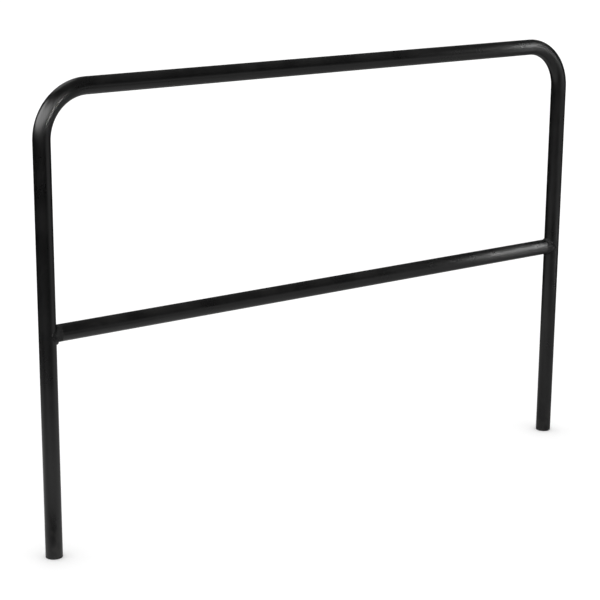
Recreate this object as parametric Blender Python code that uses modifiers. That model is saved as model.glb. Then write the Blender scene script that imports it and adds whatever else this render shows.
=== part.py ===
"""Pool handrail: a tube bent into a hoop, with a crossbar welded between its two legs.

Metres, +Z up. X runs along the rail, Y through its thickness. The origin is midway
between the feet, at the height of their undersides.
"""

from math import cos, pi, radians, sin, sqrt

import bmesh
import bpy

# Overall size
RAIL_WIDTH = 1.524
RAIL_HEIGHT = 1.050

# Tube stock, the same for the hoop and the crossbar
TUBE_DIAMETER = 0.0381
TUBE_WALL = 0.0021
BEND_RADIUS = 0.108
CROSSBAR_HEIGHT = 0.507

# Weld bead: a round section that follows the seam, sunk a little where the tubes are tangent
BEAD_RADIUS = 0.0042
BEAD_SINK = 0.0022
BEAD_CORNER_EASE = 0.2

# Foot plug: a head as wide as the tube, its lower edge rounded, and a hollow ribbed stem
PLUG_HEAD_HEIGHT = 0.003
PLUG_EDGE_RADIUS = 0.0012
PLUG_STEM_LENGTH = 0.024
PLUG_STEM_RADIUS = 0.0138
PLUG_STEM_WALL = 0.0025
PLUG_FLOOR_THICKNESS = 0.003
PLUG_RIB_COUNT = 3
PLUG_RIB_THICKNESS = 0.0016
PLUG_TIP_CHAMFER = 0.0015

# Gap kept between pieces that touch, so that their meshes stay apart
FIT_GAP = 0.0003

# Mesh fineness
TUBE_BEVEL_RESOLUTION = 14
BEND_STEPS = 12
BEAD_BEVEL_RESOLUTION = 4
BEAD_STEPS = 64
PLUG_STEPS = 32
PLUG_EDGE_STEPS = 4
CUTTER_SIDES = 96
SHARP_ANGLE = radians(35)
MERGE_DISTANCE = 0.00001

# Worked out from the values above
TUBE_RADIUS = TUBE_DIAMETER / 2
BORE_RADIUS = TUBE_RADIUS - TUBE_WALL
LEG_X = RAIL_WIDTH / 2 - TUBE_RADIUS
TOP_Z = RAIL_HEIGHT - TUBE_RADIUS
LEG_BOTTOM_Z = PLUG_HEAD_HEIGHT + FIT_GAP
CUTTER_RADIUS = TUBE_RADIUS + FIT_GAP
PLUG_RIB_RADIUS = BORE_RADIUS - FIT_GAP

BLACK_COAT = (0.012, 0.012, 0.013, 1.0)
BLACK_PLASTIC = (0.018, 0.018, 0.019, 1.0)


def clear_scene():
    for obj in list(bpy.data.objects):
        bpy.data.objects.remove(obj, do_unlink=True)


def new_collection(name):
    collection = bpy.data.collections.new(name)
    bpy.context.scene.collection.children.link(collection)
    return collection


def new_material(name, colour, roughness, metallic):
    material = bpy.data.materials.new(name)
    material.use_nodes = True
    material.diffuse_color = colour
    shader = material.node_tree.nodes["Principled BSDF"]
    shader.inputs["Base Color"].default_value = colour
    shader.inputs["Roughness"].default_value = roughness
    shader.inputs["Metallic"].default_value = metallic
    return material


def new_tube_curve(name, points, radius, bevel_resolution, cyclic=False):
    """A curve through the points, with a round section and no caps."""
    curve = bpy.data.curves.new(name, "CURVE")
    curve.dimensions = "3D"
    curve.bevel_depth = radius
    curve.bevel_resolution = bevel_resolution
    spline = curve.splines.new("POLY")
    spline.points.add(len(points) - 1)
    for spline_point, point in zip(spline.points, points):
        spline_point.co = (*point, 1.0)
    spline.use_cyclic_u = cyclic
    obj = bpy.data.objects.new(name, curve)
    bpy.context.scene.collection.objects.link(obj)
    return obj


def as_mesh_object(source, collection):
    """The evaluated surface of a curve or a modified mesh, as a plain mesh object in its place."""
    bpy.context.view_layer.update()
    name = source.name
    graph = bpy.context.evaluated_depsgraph_get()
    mesh = bpy.data.meshes.new_from_object(source.evaluated_get(graph))
    world = source.matrix_world.copy()
    source_data = source.data
    bpy.data.objects.remove(source, do_unlink=True)
    bpy.data.batch_remove([source_data])
    mesh.name = name
    weld_seams(mesh)
    obj = bpy.data.objects.new(name, mesh)
    obj.matrix_world = world
    collection.objects.link(obj)
    return obj


def weld_seams(mesh):
    shape = bmesh.new()
    shape.from_mesh(mesh)
    bmesh.ops.remove_doubles(shape, verts=shape.verts, dist=MERGE_DISTANCE)
    shape.to_mesh(mesh)
    shape.free()


def smooth_round_faces(obj):
    obj.data.shade_smooth()
    obj.data.set_sharp_from_angle(angle=SHARP_ANGLE)


def add_wall(obj):
    """Turn an open outer surface into a tube wall that grows inwards."""
    wall = obj.modifiers.new("wall", "SOLIDIFY")
    wall.thickness = TUBE_WALL
    wall.offset = -1
    wall.use_even_offset = True
    wall.use_rim = True


def cut_with(obj, cutter, name):
    cut = obj.modifiers.new(name, "BOOLEAN")
    cut.operation = "DIFFERENCE"
    cut.solver = "EXACT"
    cut.object = cutter


def new_cylinder_cutter(name, radius, length, centre, along_x, collection):
    mesh = bpy.data.meshes.new(name)
    shape = bmesh.new()
    bmesh.ops.create_cone(
        shape, cap_ends=True, segments=CUTTER_SIDES, radius1=radius, radius2=radius, depth=length
    )
    shape.to_mesh(mesh)
    shape.free()
    cutter = bpy.data.objects.new(name, mesh)
    cutter.location = centre
    cutter.rotation_euler = (0, pi / 2 if along_x else 0, 0)
    cutter.hide_render = True
    cutter.display_type = "WIRE"
    collection.objects.link(cutter)
    return cutter


def bend_points(side):
    """The quarter circle from the top of a leg to the end of the top rail."""
    centre_x = side * (LEG_X - BEND_RADIUS)
    centre_z = TOP_Z - BEND_RADIUS
    points = []
    for step in range(BEND_STEPS + 1):
        angle = pi / 2 * step / BEND_STEPS
        x = centre_x + side * BEND_RADIUS * cos(angle)
        z = centre_z + BEND_RADIUS * sin(angle)
        points.append((x, 0, z))
    return points


def make_hoop(material, collection):
    """Left leg, left bend, top rail, right bend and right leg, in one bent tube."""
    path = [(-LEG_X, 0, LEG_BOTTOM_Z)]
    path += bend_points(-1)
    path += reversed(bend_points(1))
    path += [(LEG_X, 0, LEG_BOTTOM_Z)]
    curve_obj = new_tube_curve("hoop", path, TUBE_RADIUS, TUBE_BEVEL_RESOLUTION)
    hoop = as_mesh_object(curve_obj, collection)
    smooth_round_faces(hoop)
    add_wall(hoop)
    hoop.data.materials.append(material)
    return hoop


def make_crossbar(leg_cutters, material, collection):
    """A straight tube between the legs' centre lines, each end coped to the round of its leg."""
    path = [(-LEG_X, 0, CROSSBAR_HEIGHT), (LEG_X, 0, CROSSBAR_HEIGHT)]
    curve_obj = new_tube_curve("crossbar", path, TUBE_RADIUS, TUBE_BEVEL_RESOLUTION)
    crossbar = as_mesh_object(curve_obj, collection)
    smooth_round_faces(crossbar)
    add_wall(crossbar)
    for side_name, cutter in leg_cutters.items():
        cut_with(crossbar, cutter, "cope_" + side_name)
    crossbar.data.materials.append(material)
    return crossbar


def seam_points(side):
    """The closed line where the crossbar's surface meets the leg's, eased at its two corners."""
    points = []
    for step in range(BEAD_STEPS):
        angle = 2 * pi * step / BEAD_STEPS
        reach = TUBE_RADIUS * sqrt(sin(angle) ** 2 + BEAD_CORNER_EASE**2)
        x = side * (LEG_X - reach)
        y = (TUBE_RADIUS - BEAD_SINK) * cos(angle)
        z = CROSSBAR_HEIGHT + TUBE_RADIUS * sin(angle)
        points.append((x, y, z))
    return points


def make_weld_bead(side_name, side, leg_cutter, bar_cutter, material, collection):
    """A bead round the crossbar's end, cut back to the surfaces of the leg and the bar."""
    name = "weld_bead_" + side_name
    curve_obj = new_tube_curve(
        name, seam_points(side), BEAD_RADIUS, BEAD_BEVEL_RESOLUTION, cyclic=True
    )
    bead = as_mesh_object(curve_obj, collection)
    smooth_round_faces(bead)
    cut_with(bead, leg_cutter, "clear_of_leg")
    cut_with(bead, bar_cutter, "clear_of_bar")
    bead.data.materials.append(material)
    return bead


def plug_profile():
    """Radius and height down the outside of the plug, across its underside and up its inside."""
    stem_top = LEG_BOTTOM_Z + PLUG_STEM_LENGTH
    rib_gap = (PLUG_STEM_LENGTH - PLUG_TIP_CHAMFER) / (PLUG_RIB_COUNT + 1)
    inner_radius = PLUG_STEM_RADIUS - PLUG_STEM_WALL
    profile = [
        (PLUG_STEM_RADIUS - PLUG_TIP_CHAMFER, stem_top),
        (PLUG_STEM_RADIUS, stem_top - PLUG_TIP_CHAMFER),
    ]
    for rib in range(PLUG_RIB_COUNT, 0, -1):
        rib_z = LEG_BOTTOM_Z + rib * rib_gap
        profile += [
            (PLUG_STEM_RADIUS, rib_z + PLUG_RIB_THICKNESS / 2),
            (PLUG_RIB_RADIUS, rib_z),
            (PLUG_RIB_RADIUS, rib_z - PLUG_RIB_THICKNESS / 2),
            (PLUG_STEM_RADIUS, rib_z - PLUG_RIB_THICKNESS / 2),
        ]
    profile.append((PLUG_STEM_RADIUS, PLUG_HEAD_HEIGHT))
    for step in range(PLUG_EDGE_STEPS + 1):
        angle = pi / 2 * step / PLUG_EDGE_STEPS
        radius = TUBE_RADIUS - PLUG_EDGE_RADIUS * (1 - cos(angle))
        height = PLUG_EDGE_RADIUS * (1 - sin(angle))
        if step == 0:
            profile.append((radius, PLUG_HEAD_HEIGHT))
        profile.append((radius, height))
    profile += [
        (0.0, 0.0),
        (0.0, PLUG_FLOOR_THICKNESS),
        (inner_radius, PLUG_FLOOR_THICKNESS),
        (inner_radius, stem_top),
    ]
    return profile


def make_foot_plug(side_name, side, material, collection):
    """A turned plug whose ribs grip the leg's bore and whose head caps the cut end."""
    name = "foot_plug_" + side_name
    outline = bpy.data.meshes.new(name)
    shape = bmesh.new()
    corners = [shape.verts.new((radius, 0, height)) for radius, height in plug_profile()]
    for first, second in zip(corners, corners[1:] + corners[:1]):
        shape.edges.new((first, second))
    shape.to_mesh(outline)
    shape.free()
    turned = bpy.data.objects.new(name, outline)
    turned.location = (side * LEG_X, 0, 0)
    bpy.context.scene.collection.objects.link(turned)
    turn = turned.modifiers.new("turn", "SCREW")
    turn.axis = "Z"
    turn.angle = 2 * pi
    turn.steps = PLUG_STEPS
    turn.render_steps = PLUG_STEPS
    turn.use_merge_vertices = True
    turn.merge_threshold = MERGE_DISTANCE
    plug = as_mesh_object(turned, collection)
    smooth_round_faces(plug)
    plug.data.materials.append(material)
    return plug


def main():
    clear_scene()
    parts = new_collection("pool_handrail")
    cutters = new_collection("cutters")
    sides = {"left": -1, "right": 1}

    leg_cutters = {}
    for side_name, side in sides.items():
        leg_cutters[side_name] = new_cylinder_cutter(
            name="leg_cutter_" + side_name,
            radius=CUTTER_RADIUS,
            length=4 * TUBE_DIAMETER,
            centre=(side * LEG_X, 0, CROSSBAR_HEIGHT),
            along_x=False,
            collection=cutters,
        )
    bar_cutter = new_cylinder_cutter(
        name="bar_cutter",
        radius=CUTTER_RADIUS,
        length=2 * LEG_X,
        centre=(0, 0, CROSSBAR_HEIGHT),
        along_x=True,
        collection=cutters,
    )

    make_hoop(new_material("hoop_coat", BLACK_COAT, 0.38, 0.0), parts)
    make_crossbar(leg_cutters, new_material("crossbar_coat", BLACK_COAT, 0.38, 0.0), parts)
    for side_name, side in sides.items():
        bead_coat = new_material("weld_coat_" + side_name, BLACK_COAT, 0.45, 0.0)
        make_weld_bead(side_name, side, leg_cutters[side_name], bar_cutter, bead_coat, parts)
        plug_plastic = new_material("plug_plastic_" + side_name, BLACK_PLASTIC, 0.6, 0.0)
        make_foot_plug(side_name, side, plug_plastic, parts)


main()
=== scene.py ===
"""Looks of the pool handrail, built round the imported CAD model.

Every CAD node is replaced by a finer piece of the same size: the bent and straight tubes with
their walls, the rippled weld beads and the turned foot plugs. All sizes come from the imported
nodes' boxes, apart from the few named below. Metres, +Z up, X along the rail.
"""

from collections import namedtuple
from math import cos, pi, radians, sin, sqrt

import bmesh
import bpy
import numpy as np
from mathutils import Matrix, Vector


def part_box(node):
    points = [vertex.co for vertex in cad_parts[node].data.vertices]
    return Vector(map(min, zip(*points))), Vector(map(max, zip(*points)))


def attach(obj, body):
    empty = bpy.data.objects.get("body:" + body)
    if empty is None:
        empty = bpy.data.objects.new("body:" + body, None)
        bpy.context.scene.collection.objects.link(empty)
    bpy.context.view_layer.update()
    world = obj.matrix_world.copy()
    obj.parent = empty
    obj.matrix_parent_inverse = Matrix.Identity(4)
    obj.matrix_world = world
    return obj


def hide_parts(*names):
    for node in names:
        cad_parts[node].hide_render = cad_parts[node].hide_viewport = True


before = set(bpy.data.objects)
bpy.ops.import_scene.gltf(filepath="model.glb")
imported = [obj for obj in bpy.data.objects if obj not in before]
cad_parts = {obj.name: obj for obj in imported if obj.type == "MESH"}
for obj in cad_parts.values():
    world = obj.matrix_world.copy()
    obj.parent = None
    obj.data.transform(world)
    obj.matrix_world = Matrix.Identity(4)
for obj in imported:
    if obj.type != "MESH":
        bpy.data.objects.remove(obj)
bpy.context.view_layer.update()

# Sizes that the nodes' boxes don't give, the same as in the CAD
TUBE_RADIUS = 0.01905
TUBE_WALL = 0.0021
BEND_RADIUS = 0.108
FIT_GAP = 0.0003
PLUG_STEM_RADIUS = 0.0138

# Tube meshes
TUBE_SIDES = 96
STRAIGHT_STEP = 0.020
BEND_STEPS = 48
BORE_BEND_STEPS = 12
DISTANCE_DIGITS = 7
CUT_EDGE = 0.0004
BEND_OVALITY = 0.010

# Weld beads
BEAD_STEPS = 640
BEAD_SIDES = 28
BEAD_RADIUS = 0.0052
BEAD_EASE = 0.2
BEAD_SINK = 0.0027
BEAD_SINK_LEAST = 0.35
BEAD_SWELL_SLOW = 0.035
BEAD_SWELL_QUICK = 0.03
RIPPLE_PITCH = 0.0027
RIPPLE_HEIGHT = 0.00034
RIPPLE_CRESCENT = 1.5
RIPPLE_SHARPNESS = 1.5
RIPPLE_WANDER = 0.3
RIPPLE_WANDER_RATE = 0.13
BEAD_INSET = 0.0001
BEAD_VOXEL = 0.0003
LEG_CUTTER_LENGTH = 8 * TUBE_RADIUS

# Foot plugs, whose profile stops at two small discs on the axis, PLUG_CENTRE in radius
PLUG_SIDES = 96
PLUG_EDGE_RADIUS = 0.0012
PLUG_EDGE_STEPS = 6
PLUG_RIBS = 3
PLUG_RIB_THICKNESS = 0.0016
PLUG_STEM_WALL = 0.0025
PLUG_STEM_TIP = 0.0012
PLUG_ROUND = 0.0002
PLUG_FILLET = 0.0003
PLUG_CENTRE = 0.0006
PLUG_GATE_RADIUS = 0.0022
PLUG_GATE_DEPTH = 0.0004

SHARP_ANGLE = radians(35)
SIDES = {"left": -1, "right": 1}

# The camera stands in front of the left leg, above the rail, and looks down along it.
# Its turn is from looking straight back (+Y), and its lens and sensor are in millimetres.
CAMERA_PLACE = (-2.42683, -3.17139, 1.52901)
CAMERA_TURN = radians(-36.5606)
CAMERA_DROP = radians(14.8399)
CAMERA_ROLL = radians(0.4376)
CAMERA_LENS = 104.2
CAMERA_SENSOR = 36.0
CAMERA_CLIP_END = 400


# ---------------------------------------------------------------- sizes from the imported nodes

def node_centre(node):
    low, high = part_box(node)
    return (low + high) / 2


HOOP_LOW, HOOP_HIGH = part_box("hoop")
LEG_X = HOOP_HIGH.x - TUBE_RADIUS
LEG_END_Z = HOOP_LOW.z
RAIL_Z = HOOP_HIGH.z - TUBE_RADIUS
BAR_Z = node_centre("crossbar").z
PLUG_TOP_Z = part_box("foot_plug_left")[1].z

BORE_RADIUS = TUBE_RADIUS - TUBE_WALL
LEG_LENGTH = RAIL_Z - BEND_RADIUS - LEG_END_Z
BEND_LENGTH = BEND_RADIUS * pi / 2
RAIL_LENGTH = 2 * (LEG_X - BEND_RADIUS)
HOOP_LENGTH = 2 * (LEG_LENGTH + BEND_LENGTH) + RAIL_LENGTH


# ---------------------------------------------------------------- mesh helpers

def new_piece(name, vertices, faces, material, node):
    """A smooth-shaded mesh piece that stands for a CAD node, with the material it is given."""
    mesh = bpy.data.meshes.new(name)
    mesh.from_pydata([tuple(v) for v in vertices], [], faces)
    face_outwards(mesh)
    piece = bpy.data.objects.new(name, mesh)
    bpy.context.scene.collection.objects.link(piece)
    mesh.materials.append(material)
    smooth(mesh)
    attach(piece, "root")
    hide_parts(node)
    return piece


def face_outwards(mesh):
    shape = bmesh.new()
    shape.from_mesh(mesh)
    bmesh.ops.recalc_face_normals(shape, faces=shape.faces)
    shape.to_mesh(mesh)
    shape.free()


def smooth(mesh):
    mesh.shade_smooth()
    mesh.set_sharp_from_angle(angle=SHARP_ANGLE)


def grid_faces(rings, sides, closed):
    """Quads between each ring and the next, and between the last and the first if closed."""
    faces = []
    for ring in range(rings if closed else rings - 1):
        this, following = ring * sides, (ring + 1) % rings * sides
        for side in range(sides):
            after = (side + 1) % sides
            faces.append((this + side, this + after, following + after, following + side))
    return faces


def add_tube_space(piece, values):
    """Coordinates that run along and round the tube, so that a texture follows its bends."""
    attribute = piece.data.attributes.new("tube_space", "FLOAT_VECTOR", "POINT")
    attribute.data.foreach_set("vector", np.asarray(values, np.float32).ravel())


# ---------------------------------------------------------------- tubes

def hoop_station(s):
    """Centre point, outward direction and bend share at a distance s from the left leg's end."""
    mirrored = s > HOOP_LENGTH / 2
    side = 1 if mirrored else -1
    s = HOOP_LENGTH - s if mirrored else s
    bent = (s - LEG_LENGTH) / BEND_LENGTH
    if bent <= 0:
        return np.array([side * LEG_X, 0, LEG_END_Z + s]), np.array([side, 0, 0]), 0.0
    if bent >= 1:
        x = LEG_X - BEND_RADIUS - (bent - 1) * BEND_LENGTH
        return np.array([side * x, 0, RAIL_Z]), np.array([0, 0, 1]), 0.0
    angle = bent * pi / 2
    outward = np.array([side * cos(angle), 0, sin(angle)])
    centre = np.array([side * (LEG_X - BEND_RADIUS), 0, RAIL_Z - BEND_RADIUS])
    return centre + BEND_RADIUS * outward, outward, sin(pi * bent) ** 2


def hoop_distances(straight_step, bend_steps):
    """Where the rings of the hoop's mesh stand, closer together in the bends."""
    marks = [0.0]
    lengths = (LEG_LENGTH, BEND_LENGTH, RAIL_LENGTH, BEND_LENGTH, LEG_LENGTH)
    for part, length in enumerate(lengths):
        steps = bend_steps if part in (1, 3) else max(1, round(length / straight_step))
        start = marks[-1]
        marks += [start + length * (step + 1) / steps for step in range(steps)]
    return [round(mark, DISTANCE_DIGITS) for mark in marks]


def make_hoop(material):
    """The bent tube with its wall: slightly oval in the bends, cut edges broken at the feet."""
    outer = hoop_distances(STRAIGHT_STEP, BEND_STEPS)
    inner = hoop_distances(RAIL_LENGTH, BORE_BEND_STEPS)
    end = outer[-1]
    rings = [(0.0, TUBE_RADIUS - CUT_EDGE), (CUT_EDGE, TUBE_RADIUS)]
    rings += [(s, TUBE_RADIUS) for s in outer[1:-1]]
    rings += [(end - CUT_EDGE, TUBE_RADIUS), (end, TUBE_RADIUS - CUT_EDGE)]
    rings += [(end, BORE_RADIUS + CUT_EDGE), (end - CUT_EDGE, BORE_RADIUS)]
    rings += [(s, BORE_RADIUS) for s in reversed(inner[1:-1])]
    rings += [(CUT_EDGE, BORE_RADIUS), (0.0, BORE_RADIUS + CUT_EDGE)]
    turn = np.arange(TUBE_SIDES) * 2 * pi / TUBE_SIDES
    vertices, tube_space = [], []
    for s, radius in rings:
        centre, outward, bend = hoop_station(s)
        in_plane = radius * (1 - BEND_OVALITY * bend) * np.cos(turn)
        across = radius * (1 + BEND_OVALITY / 2 * bend) * np.sin(turn)
        ring = centre + in_plane[:, None] * outward + across[:, None] * np.array([0, 1, 0])
        vertices += list(ring)
        tube_space += [(radius * cos(a), radius * sin(a), s) for a in turn]
    faces = grid_faces(len(rings), TUBE_SIDES, closed=True)
    piece = new_piece("bent_tube", vertices, faces, material, "hoop")
    add_tube_space(piece, tube_space)
    return piece


def cope_reach(radius, turn):
    """How far from the middle the bar's surface ends, where it meets the round of the leg."""
    across = radius * np.sin(turn)
    return LEG_X - np.sqrt((TUBE_RADIUS + FIT_GAP) ** 2 - across**2)


def make_crossbar(material):
    """The straight tube with its wall, both ends coped to the legs."""
    turn = np.arange(TUBE_SIDES) * 2 * pi / TUBE_SIDES
    steps = round(2 * LEG_X / STRAIGHT_STEP)
    outer = [(2 * step / steps - 1, TUBE_RADIUS) for step in range(steps + 1)]
    inner = [(share, BORE_RADIUS) for share in (1.0, 0.5, 0.0, -0.5, -1.0)]
    vertices, tube_space = [], []
    for share, radius in outer + inner:
        x = share * cope_reach(radius, turn)
        y = radius * np.sin(turn)
        z = radius * np.cos(turn)
        vertices += list(np.stack([x, y, BAR_Z + z], axis=1))
        tube_space += list(np.stack([z, y, HOOP_LENGTH + LEG_X + x], axis=1))
    faces = grid_faces(len(outer) + len(inner), TUBE_SIDES, closed=True)
    piece = new_piece("crossbar_tube", vertices, faces, material, "crossbar")
    add_tube_space(piece, tube_space)
    return piece


# ---------------------------------------------------------------- weld beads

# Lumps and dips where a run of weld started or stopped: the angle round the bar in degrees, from the
# back over the top, then the half-width in radians and the height in metres
BEAD_LUMPS = {
    "left": (
        (90, 0.60, -0.0028), (150, 0.35, -0.0012), (205, 0.16, 0.0004),
        (262, 0.22, 0.0012), (20, 0.20, 0.0006),
    ),
    "right": (
        (82, 0.32, -0.0026), (110, 0.15, 0.0012), (146, 0.17, 0.0012), (193, 0.15, 0.0005),
        (255, 0.45, -0.0018), (320, 0.20, 0.0006),
    ),
}


def angle_between(a, b):
    return np.abs((a - b + pi) % (2 * pi) - pi)


def seam_line(side, angles):
    """The line where the bar's surface meets the leg's, eased at its two corners."""
    reach = TUBE_RADIUS * np.sqrt(np.sin(angles) ** 2 + BEAD_EASE**2)
    x = side * (LEG_X - reach)
    y = TUBE_RADIUS * np.cos(angles)
    z = BAR_Z + TUBE_RADIUS * np.sin(angles)
    return np.stack([x, y, z], axis=1)


def unit(vectors):
    return vectors / np.linalg.norm(vectors, axis=-1, keepdims=True)


def bead_rings(side_name, side):
    """Rings of a rippled, uneven bead that follows the seam."""
    angles = np.arange(BEAD_STEPS) * 2 * pi / BEAD_STEPS
    line = seam_line(side, angles)
    ahead = unit(np.roll(line, -1, axis=0) - np.roll(line, 1, axis=0))
    from_leg = unit((line - np.array([side * LEG_X, 0, 0])) * np.array([1, 1, 0]))
    from_bar = unit((line - np.array([0, 0, BAR_Z])) * np.array([0, 1, 1]))
    proud = from_leg + from_bar
    proud = unit(proud - ahead * np.sum(proud * ahead, axis=1, keepdims=True))
    across = np.cross(ahead, proud)
    sink = BEAD_SINK * (BEAD_SINK_LEAST + (1 - BEAD_SINK_LEAST) * np.abs(np.cos(angles)))
    travelled = np.cumsum(np.linalg.norm(line - np.roll(line, 1, axis=0), axis=1))
    ripples = round(travelled[-1] / RIPPLE_PITCH)
    phase = travelled / travelled[-1] * 2 * pi * ripples
    slow_swell = BEAD_SWELL_SLOW * np.sin(3 * angles + side)
    quick_swell = BEAD_SWELL_QUICK * np.sin(7 * angles + 2)
    size = BEAD_RADIUS * (1 + slow_swell + quick_swell)
    for lump_angle, spread, height in BEAD_LUMPS[side_name]:
        size += height * np.exp(-((angle_between(angles, radians(lump_angle)) / spread) ** 2))
    round_section = np.arange(BEAD_SIDES) * 2 * pi / BEAD_SIDES
    vertices = []
    for step in range(BEAD_STEPS):
        centre = line[step] - sink[step] * proud[step]
        crescent = RIPPLE_CRESCENT * np.sin(round_section) ** 2
        wave = 1 - np.abs(np.sin((phase[step] + crescent) / 2))
        wander = RIPPLE_WANDER * np.sin(phase[step] * RIPPLE_WANDER_RATE + 2 * side)
        radius = size[step] - RIPPLE_HEIGHT * (1 + wander) * wave**RIPPLE_SHARPNESS
        out = (radius * np.cos(round_section))[:, None] * proud[step]
        over = (radius * np.sin(round_section))[:, None] * across[step]
        vertices += list(centre + out + over)
    return vertices


def new_cutter(name, radius, length, centre, along_x):
    """A plain cylinder that cuts a tube's shape out of a bead and is then removed."""
    mesh = bpy.data.meshes.new(name)
    shape = bmesh.new()
    bmesh.ops.create_cone(
        shape, cap_ends=True, segments=TUBE_SIDES, radius1=radius, radius2=radius, depth=length
    )
    shape.to_mesh(mesh)
    shape.free()
    cutter = bpy.data.objects.new(name, mesh)
    cutter.location = centre
    cutter.rotation_euler = (0, pi / 2 if along_x else 0, 0)
    bpy.context.scene.collection.objects.link(cutter)
    return cutter


def cut_bead(piece, cutters):
    """Even out the bead's skin, then take the tubes' shapes out of it."""
    skin = piece.modifiers.new("skin", "REMESH")
    skin.mode = "VOXEL"
    skin.voxel_size = BEAD_VOXEL
    for cutter in cutters:
        cut = piece.modifiers.new(cutter.name, "BOOLEAN")
        cut.operation = "DIFFERENCE"
        cut.solver = "EXACT"
        cut.object = cutter
    bpy.context.view_layer.update()
    graph = bpy.context.evaluated_depsgraph_get()
    mesh = bpy.data.meshes.new_from_object(piece.evaluated_get(graph))
    piece.modifiers.clear()
    old = piece.data
    piece.data = mesh
    bpy.data.meshes.remove(old)
    smooth(mesh)


def make_weld_bead(side_name, side, material):
    """The bead round one end of the crossbar, lying on both tubes."""
    vertices = bead_rings(side_name, side)
    faces = grid_faces(BEAD_STEPS, BEAD_SIDES, closed=True)
    node = "weld_bead_" + side_name
    piece = new_piece("weld_" + side_name, vertices, faces, material, node)
    cut_radius = TUBE_RADIUS - BEAD_INSET
    leg_centre = (side * LEG_X, 0, BAR_Z)
    cutters = [
        new_cutter("leg_cutter", cut_radius, LEG_CUTTER_LENGTH, leg_centre, along_x=False),
        new_cutter("bar_cutter", cut_radius, 2 * LEG_X, (0, 0, BAR_Z), along_x=True),
    ]
    cut_bead(piece, cutters)
    for cutter in cutters:
        bpy.data.objects.remove(cutter, do_unlink=True)
    return piece


# ---------------------------------------------------------------- foot plugs

def plug_profile():
    """Radius and height, from the stem's hollow over its top, down the ribs and under the head."""
    head_top = LEG_END_Z - FIT_GAP
    rib_radius = BORE_RADIUS - FIT_GAP
    stem = PLUG_STEM_RADIUS
    hollow = stem - PLUG_STEM_WALL
    tip = PLUG_STEM_TIP
    half_rib = PLUG_RIB_THICKNESS / 2
    spacing = (PLUG_TOP_Z - LEG_END_Z) / (PLUG_RIBS + 1)
    profile = [(PLUG_CENTRE, head_top), (hollow - tip, head_top), (hollow, head_top + tip)]
    profile += [(hollow, PLUG_TOP_Z - tip / 2), (hollow + tip / 2, PLUG_TOP_Z)]
    profile += [(stem - tip, PLUG_TOP_Z), (stem, PLUG_TOP_Z - tip)]
    for rib in range(PLUG_RIBS, 0, -1):
        z = LEG_END_Z + rib * spacing
        profile += [
            (stem, z + half_rib),
            (rib_radius - PLUG_ROUND, z + PLUG_ROUND),
            (rib_radius, z),
            (rib_radius, z - half_rib + PLUG_ROUND),
            (rib_radius - PLUG_ROUND, z - half_rib),
            (stem, z - half_rib),
        ]
    profile += [(stem, head_top + PLUG_FILLET), (stem + PLUG_FILLET, head_top)]
    profile += [(TUBE_RADIUS - PLUG_ROUND, head_top), (TUBE_RADIUS, head_top - PLUG_ROUND)]
    for step in range(PLUG_EDGE_STEPS + 1):
        angle = pi / 2 * step / PLUG_EDGE_STEPS
        radius = TUBE_RADIUS - PLUG_EDGE_RADIUS * (1 - cos(angle))
        profile.append((radius, PLUG_EDGE_RADIUS * (1 - sin(angle))))
    profile += [(PLUG_GATE_RADIUS + PLUG_FILLET, 0.0), (PLUG_GATE_RADIUS, PLUG_GATE_DEPTH)]
    profile += [(PLUG_CENTRE, PLUG_GATE_DEPTH)]
    return profile


def make_foot_plug(side_name, side, material):
    """A turned plug: a hollow ribbed stem in the leg's bore, and a head over its cut end."""
    profile = plug_profile()
    vertices = []
    for radius, z in profile:
        for step in range(PLUG_SIDES):
            angle = 2 * pi * step / PLUG_SIDES
            vertices.append((side * LEG_X + radius * cos(angle), radius * sin(angle), z))
    faces = grid_faces(len(profile), PLUG_SIDES, closed=False)
    faces.append(tuple(range(PLUG_SIDES)))
    last = (len(profile) - 1) * PLUG_SIDES
    faces.append(tuple(range(last, last + PLUG_SIDES)))
    node = "foot_plug_" + side_name
    return new_piece("plug_" + side_name, vertices, faces, material, node)


# ---------------------------------------------------------------- material helpers

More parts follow.
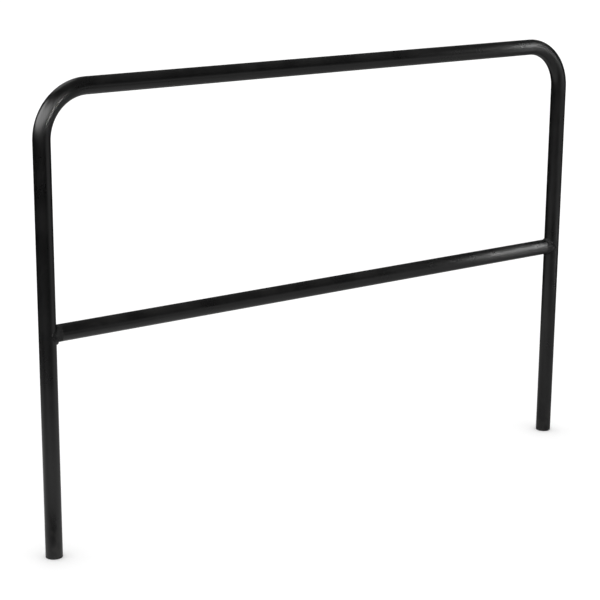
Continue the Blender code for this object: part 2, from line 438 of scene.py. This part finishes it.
class Nodes:
    """Short calls for building the node tree of a material or of the world."""

    def __init__(self, owner):
        owner.use_nodes = True
        self.owner = owner
        self.tree = owner.node_tree
        self.shader = self.tree.nodes.get("Principled BSDF")

    def add(self, kind, **settings):
        node = self.tree.nodes.new("ShaderNode" + kind)
        for key, value in settings.items():
            setattr(node, key, value)
        return node

    def link(self, value, socket):
        if isinstance(value, bpy.types.NodeSocket):
            self.tree.links.new(value, socket)
        else:
            socket.default_value = value

    def math(self, operation, a, b=0.0, clamp=False):
        node = self.add("Math", operation=operation, use_clamp=clamp)
        for value, socket in zip((a, b), node.inputs):
            self.link(value, socket)
        return node.outputs[0]

    def product(self, level, parts):
        """The level times each of the parts."""
        for part in parts:
            level = self.math("MULTIPLY", part, level)
        return level

    def stretched(self, vector, scale):
        node = self.add("VectorMath", operation="MULTIPLY")
        self.link(vector, node.inputs[0])
        node.inputs[1].default_value = scale
        return node.outputs[0]

    def noise(self, vector, scale, detail=2.0):
        """Noise whose scale is in features per metre."""
        node = self.add("TexNoise")
        self.link(vector, node.inputs["Vector"])
        node.inputs["Scale"].default_value = scale
        node.inputs["Detail"].default_value = detail
        return node.outputs["Fac"]

    def remap(self, value, low, high, to_low=0.0, to_high=1.0):
        """A smooth step: to_low up to the value low, and to_high from the value high on."""
        node = self.add("MapRange", interpolation_type="SMOOTHSTEP")
        for number, socket in zip((value, low, high, to_low, to_high), node.inputs):
            self.link(number, socket)
        return node.outputs[0]

    def mix(self, share, a, b):
        """Colour a where the share is 0, and colour b where it is 1."""
        node = self.add("Mix", data_type="RGBA")
        self.link(share, node.inputs[0])
        self.link(a, node.inputs[6])
        self.link(b, node.inputs[7])
        return node.outputs[2]

    def bump(self, height, distance, below=None):
        """A bump of height 0 to 1, distance metres deep, on top of another."""
        node = self.add("Bump")
        node.inputs["Strength"].default_value = 1.0
        node.inputs["Distance"].default_value = distance
        self.link(height, node.inputs["Height"])
        if below is not None:
            self.link(below, node.inputs["Normal"])
        return node.outputs[0]

    def place(self):
        """A point's place in metres, in the frame that the CAD is in."""
        return self.add("TexCoord").outputs["Object"]

    def split(self, vector):
        node = self.add("SeparateXYZ")
        self.link(vector, node.inputs[0])
        return node.outputs

    def finish(self, colour, roughness, normal):
        self.link(colour, self.shader.inputs["Base Color"])
        self.link(roughness, self.shader.inputs["Roughness"])
        self.link(normal, self.shader.inputs["Normal"])
        self.shader.inputs["Metallic"].default_value = 0.0
        return self.owner


# Limits that turn Blender's noise, which keeps near 0.5, into a share from 0 to 1
NOISE_MIDDLE = (0.35, 0.65)
NOISE_SPAN = (0.3, 0.7)

# The tubes' coat: its colours, how far each effect takes its colour or roughness, and in metres
# how deep its relief is and where its zones lie. Scratches are long because their noise is
# squeezed to SCRATCH_GRAIN along the tube.
COAT_DARK = (0.0018, 0.0018, 0.0019, 1.0)
COAT_LIGHT = (0.0033, 0.0033, 0.0034, 1.0)
COAT_DUST = (0.050, 0.047, 0.043, 1.0)
COAT_RUBBED = (0.017, 0.017, 0.018, 1.0)
MOTTLE_SHARE = 0.15
SCRATCH_SHARE = 0.25
SETTLED_SHARE = 0.10
FILM_SHARE = 0.14
SPECK_SHARE = 0.25
COAT_ROUGHNESS = (0.27, 0.32)
DUST_ROUGHNESS = 0.9
SCRATCH_ROUGHNESS = 0.10
WELD_ZONE_ROUGHNESS = 0.5
PEEL_DEPTH = 0.00001
GRAIN_DEPTH = 0.000004
WAVE_DEPTH = 0.0003
SCRATCH_DEPTH = 0.00001
PIT_DEPTH = 0.0006
WELD_ZONE_START = LEG_X - 0.0315
WELD_ZONE_END = LEG_X - 0.0280
SPATTER_SPREAD = 0.35
SCRATCH_GRAIN = (1.0, 1.0, 0.035)
FOOT_WEAR_HEIGHT = 0.14


def coat_scratches(n, along):
    """Hairline scratches along the tube, in patches."""
    streaks = n.noise(n.stretched(along, SCRATCH_GRAIN), scale=620.0)
    where = n.remap(n.noise(along, scale=22.0), low=0.52, high=0.68)
    return n.math("MULTIPLY", n.remap(streaks, low=0.66, high=0.74), where)


def coat_dust(n, place, clouds):
    """Dust in clouds and specks on upper faces, and a film near the feet."""
    up = n.split(n.add("NewGeometry").outputs["Normal"])[2]
    facing_up = n.remap(up, low=0.2, high=0.95)
    settled = n.math("MULTIPLY", facing_up, n.remap(clouds, low=0.38, high=0.68))
    near_floor = n.remap(n.split(place)[2], low=FOOT_WEAR_HEIGHT, high=0.0)
    smears = n.remap(n.noise(place, scale=60.0, detail=5.0), low=0.42, high=0.66)
    film = n.math("MULTIPLY", near_floor, smears)
    settled_dust = n.math("MULTIPLY", settled, SETTLED_SHARE)
    dust = n.math("MAXIMUM", settled_dust, n.math("MULTIPLY", film, FILM_SHARE))
    specks = n.remap(n.noise(place, scale=900.0), low=0.60, high=0.72)
    specks = n.math("MULTIPLY", specks, settled)
    return n.math("ADD", dust, n.math("MULTIPLY", specks, SPECK_SHARE))


def coat_weld_zone(n, along, place):
    """Where the crossbar's coat is rough beside its welds: a short zone with a ragged edge."""
    on_bar = n.math("GREATER_THAN", n.split(along)[2], HOOP_LENGTH)
    out = n.math("ABSOLUTE", n.split(place)[0])
    end_zone = n.remap(out, WELD_ZONE_START, WELD_ZONE_END)
    spatter = n.remap(n.noise(place, scale=240.0), *NOISE_SPAN, -SPATTER_SPREAD, SPATTER_SPREAD)
    ragged = n.math("ADD", end_zone, spatter, clamp=True)
    return n.math("MULTIPLY", n.math("MULTIPLY", on_bar, ragged), end_zone)


def coat_relief(n, along, place, scratches, weld_zone):
    """Orange peel, fine grain, slow waves, scratches, and pits beside the welds."""
    peel = n.bump(n.noise(along, scale=520.0), PEEL_DEPTH)
    grain = n.bump(n.noise(along, scale=2400.0), GRAIN_DEPTH, below=peel)
    waves = n.bump(n.noise(along, scale=22.0, detail=1.0), WAVE_DEPTH, below=grain)
    scored = n.bump(n.math("SUBTRACT", 1.0, scratches), SCRATCH_DEPTH, below=waves)
    pits = n.math("MULTIPLY", n.noise(place, scale=380.0, detail=4.0), weld_zone)
    return n.bump(pits, PIT_DEPTH, below=scored)


def new_tube_coat():
    """Semi-gloss black powder coat: orange peel, faint clouds, hairline scratches and dust."""
    n = Nodes(bpy.data.materials.new("tube_coat"))
    along = n.add("Attribute", attribute_name="tube_space").outputs["Vector"]
    place = n.place()
    clouds = n.noise(along, scale=16.0, detail=4.0)
    mottle = n.remap(n.noise(along, scale=260.0, detail=3.0), low=0.55, high=0.75)
    scratches = coat_scratches(n, along)
    dust = coat_dust(n, place, clouds)
    weld_zone = coat_weld_zone(n, along, place)

    colour = n.mix(n.remap(clouds, *NOISE_MIDDLE), COAT_DARK, COAT_LIGHT)
    colour = n.mix(n.math("MULTIPLY", mottle, MOTTLE_SHARE), colour, COAT_RUBBED)
    colour = n.mix(n.math("MULTIPLY", scratches, SCRATCH_SHARE), colour, COAT_RUBBED)
    colour = n.mix(dust, colour, COAT_DUST)

    rougher_zone = n.math("MULTIPLY", weld_zone, WELD_ZONE_ROUGHNESS)
    roughness = n.remap(clouds, *NOISE_SPAN, *COAT_ROUGHNESS)
    roughness = n.math("ADD", roughness, n.math("MULTIPLY", dust, DUST_ROUGHNESS))
    roughness = n.math("ADD", roughness, n.math("MULTIPLY", scratches, SCRATCH_ROUGHNESS))
    roughness = n.math("ADD", roughness, rougher_zone, clamp=True)
    return n.finish(colour, roughness, coat_relief(n, along, place, scratches, weld_zone))


WELD_SPECULAR = 0.22
WELD_ROUGHNESS = (0.36, 0.50)
WELD_CREST_SHARE = 0.55
WELD_SPOT_SHARE = 0.12
WELD_LUMP_DEPTH = 0.0004
WELD_FINE_DEPTH = 0.00012


def new_weld_coat():
    """The same coat over weld metal: duller and rougher, dusty in spots, its crests rubbed."""
    n = Nodes(bpy.data.materials.new("weld_coat"))
    place = n.place()
    lumps = n.noise(place, scale=190.0, detail=3.0)
    fine = n.noise(place, scale=900.0, detail=4.0)
    crests = n.remap(n.add("NewGeometry").outputs["Pointiness"], low=0.50, high=0.56)
    spots = n.remap(fine, low=0.55, high=0.75)
    colour = n.mix(n.remap(lumps, *NOISE_MIDDLE), COAT_DARK, COAT_LIGHT)
    colour = n.mix(n.math("MULTIPLY", crests, WELD_CREST_SHARE), colour, COAT_RUBBED)
    colour = n.mix(n.math("MULTIPLY", spots, WELD_SPOT_SHARE), colour, COAT_DUST)
    roughness = n.remap(lumps, *NOISE_SPAN, *WELD_ROUGHNESS)
    n.shader.inputs["Specular IOR Level"].default_value = WELD_SPECULAR
    peel = n.bump(lumps, WELD_LUMP_DEPTH)
    normal = n.bump(fine, WELD_FINE_DEPTH, below=peel)
    return n.finish(colour, roughness, normal)


PLASTIC_DARK = (0.0075, 0.0075, 0.0078, 1.0)
PLASTIC_LIGHT = (0.0120, 0.0120, 0.0122, 1.0)
PLASTIC_SCUFF = (0.060, 0.058, 0.055, 1.0)
PLASTIC_ROUGHNESS = (0.55, 0.68)
PLASTIC_GRAIN_DEPTH = 0.00003
SCUFF_GRAIN = (1.0, 0.08, 1.0)
SCUFF_SHARE = 0.6
SCUFF_ROUGHNESS = 0.15
SCUFF_DEPTH = 0.00006


def new_plug_plastic():
    """Black moulded plastic: fine spark texture, and a scuffed, gritty underside."""
    n = Nodes(bpy.data.materials.new("plug_plastic"))
    place = n.place()
    normal_z = n.split(n.add("NewGeometry").outputs["Normal"])[2]
    clouds = n.noise(place, scale=110.0, detail=4.0)
    grain = n.noise(place, scale=2600.0, detail=3.0)
    lines = n.noise(n.stretched(place, SCUFF_GRAIN), scale=1500.0)
    underside = n.remap(normal_z, low=-0.35, high=-0.95)
    worn = n.math("MULTIPLY", underside, n.remap(clouds, low=0.42, high=0.60))
    marks = n.math("MULTIPLY", worn, n.remap(lines, low=0.48, high=0.66))
    colour = n.mix(n.remap(clouds, *NOISE_MIDDLE), PLASTIC_DARK, PLASTIC_LIGHT)
    colour = n.mix(n.math("MULTIPLY", marks, SCUFF_SHARE), colour, PLASTIC_SCUFF)
    roughness = n.remap(clouds, *NOISE_SPAN, *PLASTIC_ROUGHNESS)
    roughness = n.math("ADD", roughness, n.math("MULTIPLY", marks, SCUFF_ROUGHNESS))
    pebbled = n.bump(grain, PLASTIC_GRAIN_DEPTH)
    normal = n.bump(n.math("SUBTRACT", 1.0, marks), SCUFF_DEPTH, below=pebbled)
    return n.finish(colour, roughness, normal)


# ---------------------------------------------------------------- floor, light and camera

FLOOR_HALF = 120.0
FLOOR_DROP = 0.0002
FLOOR_WHITE = (0.99, 0.99, 0.99, 1.0)
GLOW_HALF = 4.0


def new_quad(name, corners):
    mesh = bpy.data.meshes.new(name)
    mesh.from_pydata(corners, [], [(0, 1, 2, 3)])
    plane = bpy.data.objects.new(name, mesh)
    bpy.context.scene.collection.objects.link(plane)
    return plane


def new_level(name, half):
    """A level square round the origin, just under the feet."""
    corners = [(-half, -half), (half, -half), (half, half), (-half, half)]
    plane = new_quad(name, [(x, y, -FLOOR_DROP) for x, y in corners])
    return plane


def make_floor():
    """A plain pale floor. The tubes' gloss doesn't see it, but the floor glow in its place."""
    floor = new_level("floor", FLOOR_HALF)
    floor.visible_glossy = False
    n = Nodes(bpy.data.materials.new("floor_paint"))
    n.shader.inputs["Base Color"].default_value = FLOOR_WHITE
    n.shader.inputs["Roughness"].default_value = 1.0
    n.shader.inputs["Specular IOR Level"].default_value = 0.0
    floor.data.materials.append(n.owner)


def only_in_gloss(obj):
    """Leave an object out of everything but reflections."""
    obj.visible_camera = False
    obj.visible_diffuse = False
    obj.visible_transmission = False
    obj.visible_volume_scatter = False
    obj.visible_shadow = False


def new_upright(name, ends, heights):
    """An upright plane over the line between two places on the floor, seen only by the gloss."""
    (left_x, left_y), (right_x, right_y) = ends
    low, high = heights
    corners = [(left_x, left_y, low), (right_x, right_y, low)]
    corners += [(right_x, right_y, high), (left_x, left_y, high)]
    plane = new_quad(name, corners)
    only_in_gloss(plane)
    return plane


def emitting(name):
    """Nodes of a bare emission material, and the socket for its strength."""
    n = Nodes(bpy.data.materials.new(name))
    n.tree.nodes.clear()
    emission = n.add("Emission")
    n.link(emission.outputs[0], n.add("OutputMaterial").inputs["Surface"])
    return n, emission.inputs["Strength"]


# The glow: its level at the left leg and at the right one, and its share right under the rail. How
# far from the rail it is at its full share, and where it ends. How much wider it is in front of the
# right part, and between which places along the rail it widens. Where it fades past the rail's ends.
GLOW_LEVEL = (0.75, 0.40)
GLOW_UNDER = 0.75
GLOW_NEAR = 0.50
GLOW_FAR = 1.45
GLOW_WIDENING = 0.80
GLOW_WIDENS = (-0.2, 0.6)
GLOW_FADES = (1.2, 2.6)

# The shade on the floor in front of the left leg: its middle, the turn of its short side from the
# front (-Y) towards +X, its half-sizes, and how much of the light it takes away
SHADE_PLACE = (-0.848, -0.152)
SHADE_TURN = radians(-34.5)
SHADE_HALF = (0.15, 0.34)
SHADE_DEPTH = 1.0


def floor_shade(n, x, y):
    """The share of the light that the oval shade leaves."""
    aside = n.math("SUBTRACT", x, SHADE_PLACE[0])
    along = n.math("SUBTRACT", y, SHADE_PLACE[1])
    front = (sin(SHADE_TURN), -cos(SHADE_TURN))
    outwards = n.math("ADD", n.math("MULTIPLY", aside, front[0]),
                      n.math("MULTIPLY", along, front[1]))
    sideways = n.math("SUBTRACT", n.math("MULTIPLY", along, front[0]),
                      n.math("MULTIPLY", aside, front[1]))
    outwards = n.math("POWER", n.math("DIVIDE", outwards, SHADE_HALF[0]), 2.0)
    sideways = n.math("POWER", n.math("DIVIDE", sideways, SHADE_HALF[1]), 2.0)
    reach = n.math("SQRT", n.math("ADD", outwards, sideways))
    return n.remap(reach, 0.0, 1.0, 1 - SHADE_DEPTH, 1.0)


def make_floor_glow():
    """What the tubes' gloss sees of the lit floor: bright near the rail, dark further off."""
    glow = new_level("floor_glow", GLOW_HALF)
    only_in_gloss(glow)
    n, strength = emitting("floor_glow")
    x, y, z = n.split(n.place())
    out = n.math("ABSOLUTE", y)
    under = n.remap(out, 0.0, GLOW_NEAR, GLOW_UNDER, 1.0)
    wider = n.math("MULTIPLY", n.remap(x, *GLOW_WIDENS), n.math("LESS_THAN", y, 0.0))
    narrowed = n.math("SUBTRACT", out, n.math("MULTIPLY", wider, GLOW_WIDENING))
    beside = n.math("MULTIPLY", n.remap(narrowed, GLOW_NEAR, GLOW_FAR, 1.0, 0.0),
                    n.remap(x, -LEG_X, LEG_X, *GLOW_LEVEL))
    beyond = n.remap(n.math("ABSOLUTE", x), *GLOW_FADES, 1.0, 0.0)
    light = n.math("MULTIPLY", n.math("MULTIPLY", under, beside), beyond)
    n.link(n.math("MULTIPLY", light, floor_shade(n, x, y)), strength)
    glow.data.materials.append(n.owner)


# The card: the two ends of its foot on the floor, its top, how far its light fades below the top,
# its level at the left end and at the right one, and how softly the left end starts
CARD_ENDS = ((0.46, -2.95), (2.80, -0.60))
CARD_TOP = 1.30
CARD_FADE = 0.90
CARD_LEVEL = (0.60, 0.36)
CARD_SOFT = 0.22


def make_card():
    """A low white card at the right front, seen by the gloss in the tubes' lower halves."""
    card = new_upright("card", CARD_ENDS, (0, CARD_TOP))
    left_x, right_x = CARD_ENDS[0][0], CARD_ENDS[1][0]
    n, strength = emitting("card")
    x, y, z = n.split(n.place())
    upper = n.remap(z, CARD_TOP - CARD_FADE, CARD_TOP, 1.0, 0.0)
    inner = n.remap(x, left_x, left_x + CARD_SOFT)
    level = n.remap(x, left_x + CARD_SOFT, right_x, *CARD_LEVEL)
    n.link(n.math("MULTIPLY", n.math("MULTIPLY", upper, inner), level), strength)
    card.data.materials.append(n.owner)


FLAG_GAP = 0.057
FLAG_HALF_WIDTH = 0.40
FLAG_RISE = 0.07
FLAG_TOP = 2.0


def make_flag():
    """A black flag just past the left bend, which keeps the window's glare off the top rail."""
    x = -(LEG_X + FLAG_GAP)
    ends = ((x, -FLAG_HALF_WIDTH), (x, FLAG_HALF_WIDTH))
    flag = new_upright("flag", ends, (RAIL_Z + FLAG_RISE, FLAG_TOP))
    n, strength = emitting("flag")
    strength.default_value = 0.0
    flag.data.materials.append(n.owner)


# White all round, and what the gloss sees instead: a dim room, dark at and under the horizon and
# lighter towards the ceiling
WORLD_LEVEL = 1.12
ROOM_LEVEL = 0.13
ROOM_FLOOR_ANGLE = radians(0)
ROOM_CEILING_ANGLE = radians(40)
WINDOW_SOFT = radians(9)

# The window, in degrees: its two sides as turns from the front (-Y) towards +X, the right one
# leaning from the first turn at the sill to the second at the head, then its sill and head over the
# horizon, and its radiance
WINDOW_LEFT = -145
WINDOW_RIGHT = (12, -28)
WINDOW_SILL = 10
WINDOW_HEAD = 45
WINDOW_LEVEL = 6.0

# A weaker window behind the rail, which shapes the tubes' upper backs: its middle as such a turn,
# its half-width, its sill and head, and its radiance
REAR_WINDOW_MIDDLE = -178
REAR_WINDOW_HALF = 22
REAR_WINDOW_SILL = 38
REAR_WINDOW_HEAD = 62
REAR_WINDOW_LEVEL = 2.4


def between_heights(n, height, sill, head):
    """Two shares that are both 1 between a sill and a head, with soft edges."""
    half = WINDOW_SOFT / 2
    over_sill = n.remap(height, radians(sill) - half, radians(sill) + half)
    under_head = n.remap(height, radians(head) + half, radians(head) - half)
    return over_sill, under_head


def front_window(n, turn, height):
    """The radiance of the window in front of the rail and to its left."""
    sill, head = radians(WINDOW_SILL), radians(WINDOW_HEAD)
    right_low, right_high = radians(WINDOW_RIGHT[0]), radians(WINDOW_RIGHT[1])
    right = n.add("MapRange")
    for number, socket in zip((height, sill, head, right_low, right_high), right.inputs):
        n.link(number, socket)
    half = WINDOW_SOFT / 2
    from_left = n.remap(n.math("SUBTRACT", turn, radians(WINDOW_LEFT)), -half, half)
    to_right = n.remap(n.math("SUBTRACT", turn, right.outputs[0]), half, -half)
    heights = between_heights(n, height, WINDOW_SILL, WINDOW_HEAD)
    return n.product(WINDOW_LEVEL, (from_left, to_right, *heights))


def rear_window(n, turn, height):
    """The radiance of the weaker window behind the rail."""
    middle = radians(REAR_WINDOW_MIDDLE)
    facing = n.math("ADD", n.math("MULTIPLY", n.math("SINE", turn), sin(middle)),
                    n.math("MULTIPLY", n.math("COSINE", turn), cos(middle)))
    edge, half = radians(REAR_WINDOW_HALF), WINDOW_SOFT / 2
    within = n.remap(facing, cos(edge + half), cos(edge - half))
    heights = between_heights(n, height, REAR_WINDOW_SILL, REAR_WINDOW_HEAD)
    return n.product(REAR_WINDOW_LEVEL, (within, *heights))


def make_world():
    """White all round, apart from the tubes' gloss, which sees a dim room with two windows."""
    world = bpy.data.worlds.new("studio")
    bpy.context.scene.world = world
    n = Nodes(world)
    n.tree.nodes.clear()
    white = n.add("Background")
    white.inputs["Color"].default_value = (1, 1, 1, 1)
    white.inputs["Strength"].default_value = WORLD_LEVEL
    x, y, z = n.split(n.add("TexCoord").outputs["Generated"])
    turn = n.math("ARCTAN2", x, n.math("MULTIPLY", y, -1.0))
    height = n.math("ARCSINE", z)
    seen = n.remap(height, ROOM_FLOOR_ANGLE, ROOM_CEILING_ANGLE, 0.0, ROOM_LEVEL)
    seen = n.math("ADD", seen, front_window(n, turn, height))
    seen = n.math("ADD", seen, rear_window(n, turn, height))
    room = n.add("Background")
    n.link(seen, room.inputs["Strength"])
    in_gloss = n.add("LightPath").outputs["Is Glossy Ray"]
    mixed = n.add("MixShader")
    n.link(in_gloss, mixed.inputs[0])
    n.link(white.outputs[0], mixed.inputs[1])
    n.link(room.outputs[0], mixed.inputs[2])
    n.link(mixed.outputs[0], n.add("OutputWorld").inputs["Surface"])


# A key light is a fan of boxes: the point that their beams meet at, how far sideways they come from
# (as the x of a unit vector), the middle box's height and each beam's spread in degrees, a box's
# width and height, the power in watts, and the share of it at each step in height from the middle
Key = namedtuple("Key", "name target sideways height spread size power fan")
WIDE_FAN = {-68: 0.15, -51: 0.15, -34: 0.2, -17: 0.5, 0: 1.0, 17: 0.85, 34: 0.4, 52: 0.15}
SINGLE = {0: 1.0}
BOX = (0.19, 0.12)
SMALL_BOX = (0.08, 0.05)
KEYS = (
    Key("key_bar", (0.605, 0.0, BAR_Z), 0.667, 29, 13, BOX, 0.0135, WIDE_FAN),
    Key("key_bar_tail", (0.38, 0.0, BAR_Z), 0.650, 31, 30, BOX, 0.0032, WIDE_FAN),
    Key("key_rail", (0.688, 0.0, RAIL_Z), 0.688, 22, 12, BOX, 0.0108, WIDE_FAN),
    Key("key_rail_tail", (0.44, 0.0, RAIL_Z), 0.660, 22, 30, BOX, 0.0036, WIDE_FAN),
    Key("key_bend", (-0.724, 0.0, 0.984), 0.29, -1, 4, SMALL_BOX, 0.0034, SINGLE),
)
KEY_DISTANCE = 1.1


def new_key_box(key, step, share, receivers):
    """One box of a fan, step degrees over its middle one."""
    rise = radians(key.height + step)
    outwards = sqrt(1 - key.sideways**2)
    source = Vector((key.sideways, -outwards * cos(rise), outwards * sin(rise)))
    lamp = bpy.data.lights.new(key.name, "AREA")
    lamp.shape = "RECTANGLE"
    lamp.size, lamp.size_y = key.size
    lamp.spread = radians(key.spread)
    lamp.energy = share * key.power
    box = bpy.data.objects.new(key.name, lamp)
    bpy.context.scene.collection.objects.link(box)
    box.location = Vector(key.target) + KEY_DISTANCE * source
    box.rotation_euler = (-source).to_track_quat("-Z", "Y").to_euler()
    box.visible_camera = False
    box.light_linking.receiver_collection = receivers


def make_keys(lit):
    """Small gridded lights on the rail's right end and left bend, which leave the floor alone."""
    receivers = bpy.data.collections.new("lit_by_keys")
    bpy.context.scene.collection.children.link(receivers)
    for piece in lit:
        receivers.objects.link(piece)
    for key in KEYS:
        for step, share in key.fan.items():
            new_key_box(key, step, share, receivers)


def make_camera():
    data = bpy.data.cameras.new("camera")
    data.lens = CAMERA_LENS
    data.sensor_width = CAMERA_SENSOR
    data.clip_end = CAMERA_CLIP_END
    camera = bpy.data.objects.new("camera", data)
    bpy.context.scene.collection.objects.link(camera)
    turn = Matrix.Rotation(CAMERA_TURN, 4, "Z")
    drop = Matrix.Rotation(pi / 2 - CAMERA_DROP, 4, "X")
    roll = Matrix.Rotation(CAMERA_ROLL, 4, "Z")
    camera.matrix_world = Matrix.Translation(CAMERA_PLACE) @ turn @ drop @ roll
    bpy.context.scene.camera = camera


# ---------------------------------------------------------------- the whole scene

def main():
    tube_coat = new_tube_coat()
    weld_coat = new_weld_coat()
    plug_plastic = new_plug_plastic()
    pieces = [make_hoop(tube_coat), make_crossbar(tube_coat)]
    for side_name, side in SIDES.items():
        pieces.append(make_weld_bead(side_name, side, weld_coat))
        pieces.append(make_foot_plug(side_name, side, plug_plastic))
    make_floor()
    make_floor_glow()
    make_card()
    make_flag()
    make_world()
    make_keys(pieces)
    make_camera()
    bpy.context.scene.view_settings.view_transform = "Standard"


main()
